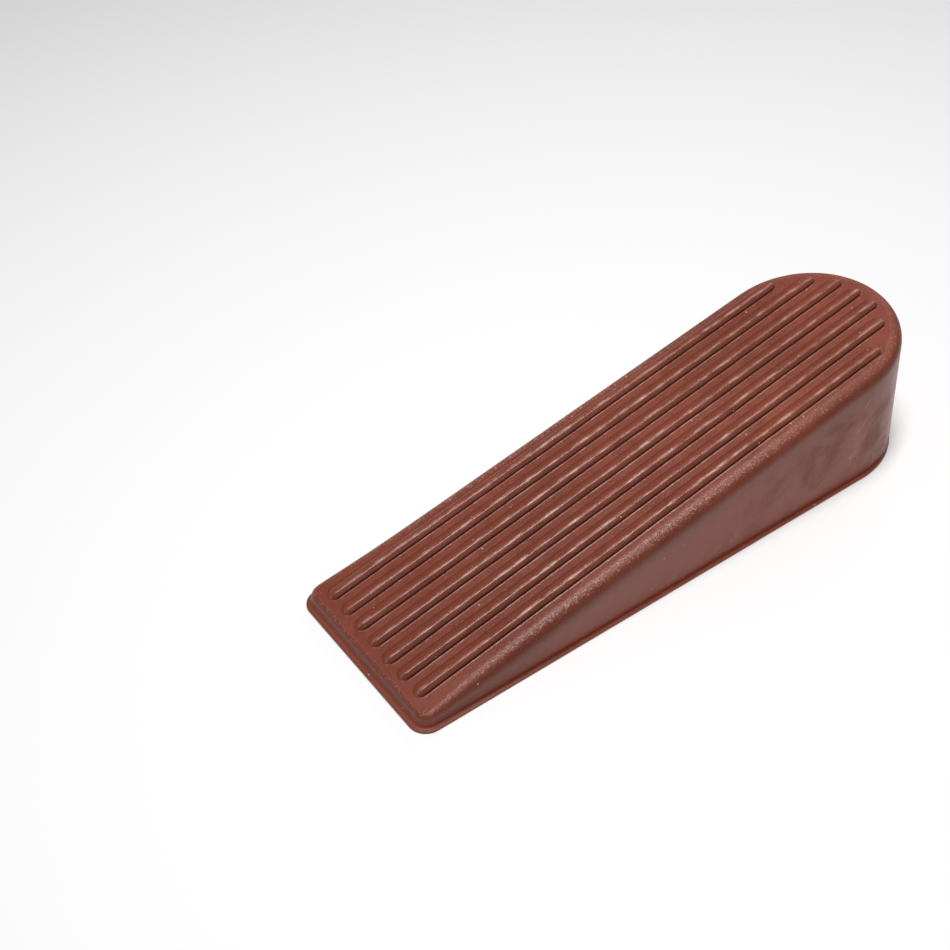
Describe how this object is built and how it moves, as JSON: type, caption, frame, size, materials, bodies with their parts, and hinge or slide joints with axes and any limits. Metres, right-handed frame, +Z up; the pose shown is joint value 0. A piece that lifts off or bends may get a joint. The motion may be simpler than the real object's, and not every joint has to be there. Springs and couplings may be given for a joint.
{
  "type": "door wedge",
  "caption": "Rubber door wedge with a square toe, a half-round heel, lengthwise grip ribs on the ramp and a thin base rim.",
  "frame": {"origin": "centre of the footprint's bounding box, on the floor under the sole", "axes": "+X from the toe to the heel, +Y across the wedge to the left seen from the toe, +Z up"},
  "size_m": [0.12, 0.038, 0.0271],
  "materials": {
    "rubber_body": "semi-gloss moulded rubber, reddish brown",
    "rubber_sole": "semi-matt moulded rubber, reddish brown"
  },
  "bodies": {
    "root": {"wedge_body": "rubber_body", "base_sole": "rubber_sole"}
  },
  "joints": []
}
